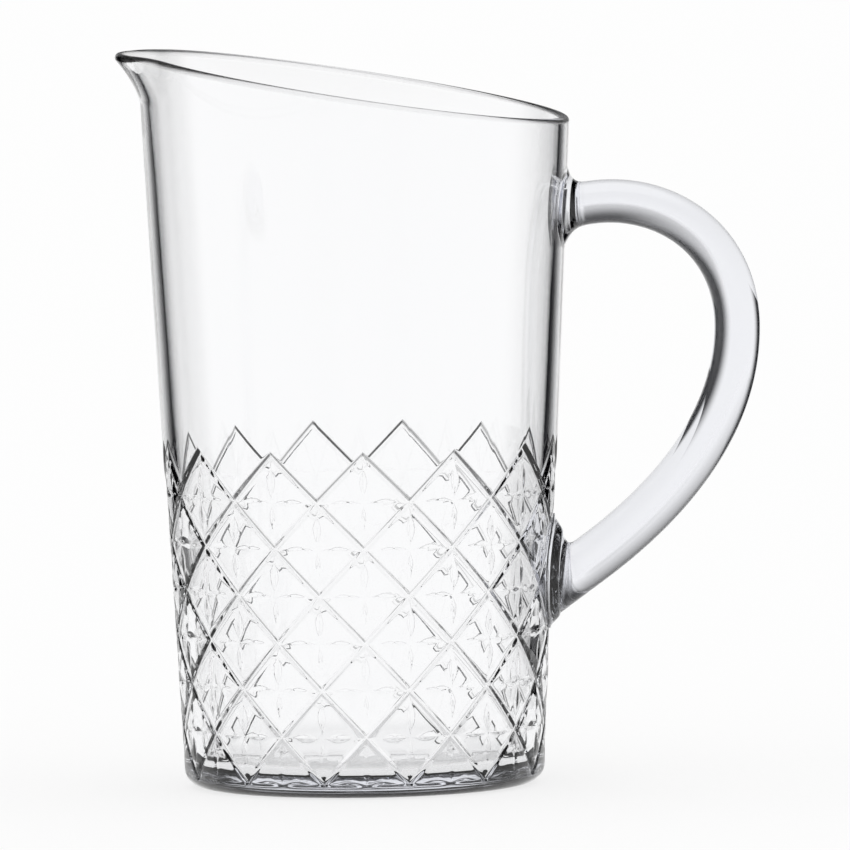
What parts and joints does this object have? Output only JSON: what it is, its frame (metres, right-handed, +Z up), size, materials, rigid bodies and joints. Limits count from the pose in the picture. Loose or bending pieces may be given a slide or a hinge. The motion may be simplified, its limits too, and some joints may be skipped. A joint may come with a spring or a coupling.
{
  "type": "pouring jug",
  "caption": "Clear glass pouring jug: tapered body cut with a diamond lattice below, slanted rim with a pouring lip, and a loop handle opposite the lip.",
  "frame": {"origin": "middle of the flat underside, on the axis of the tapered body", "axes": "+Z up along the axis of the body, +X towards the handle, -X towards the pouring lip"},
  "size_m": [0.1891, 0.1272, 0.2172],
  "materials": {
    "clear_glass": "polished"
  },
  "bodies": {
    "root": {"glass_body": "clear_glass", "handle": "clear_glass"}
  },
  "joints": []
}
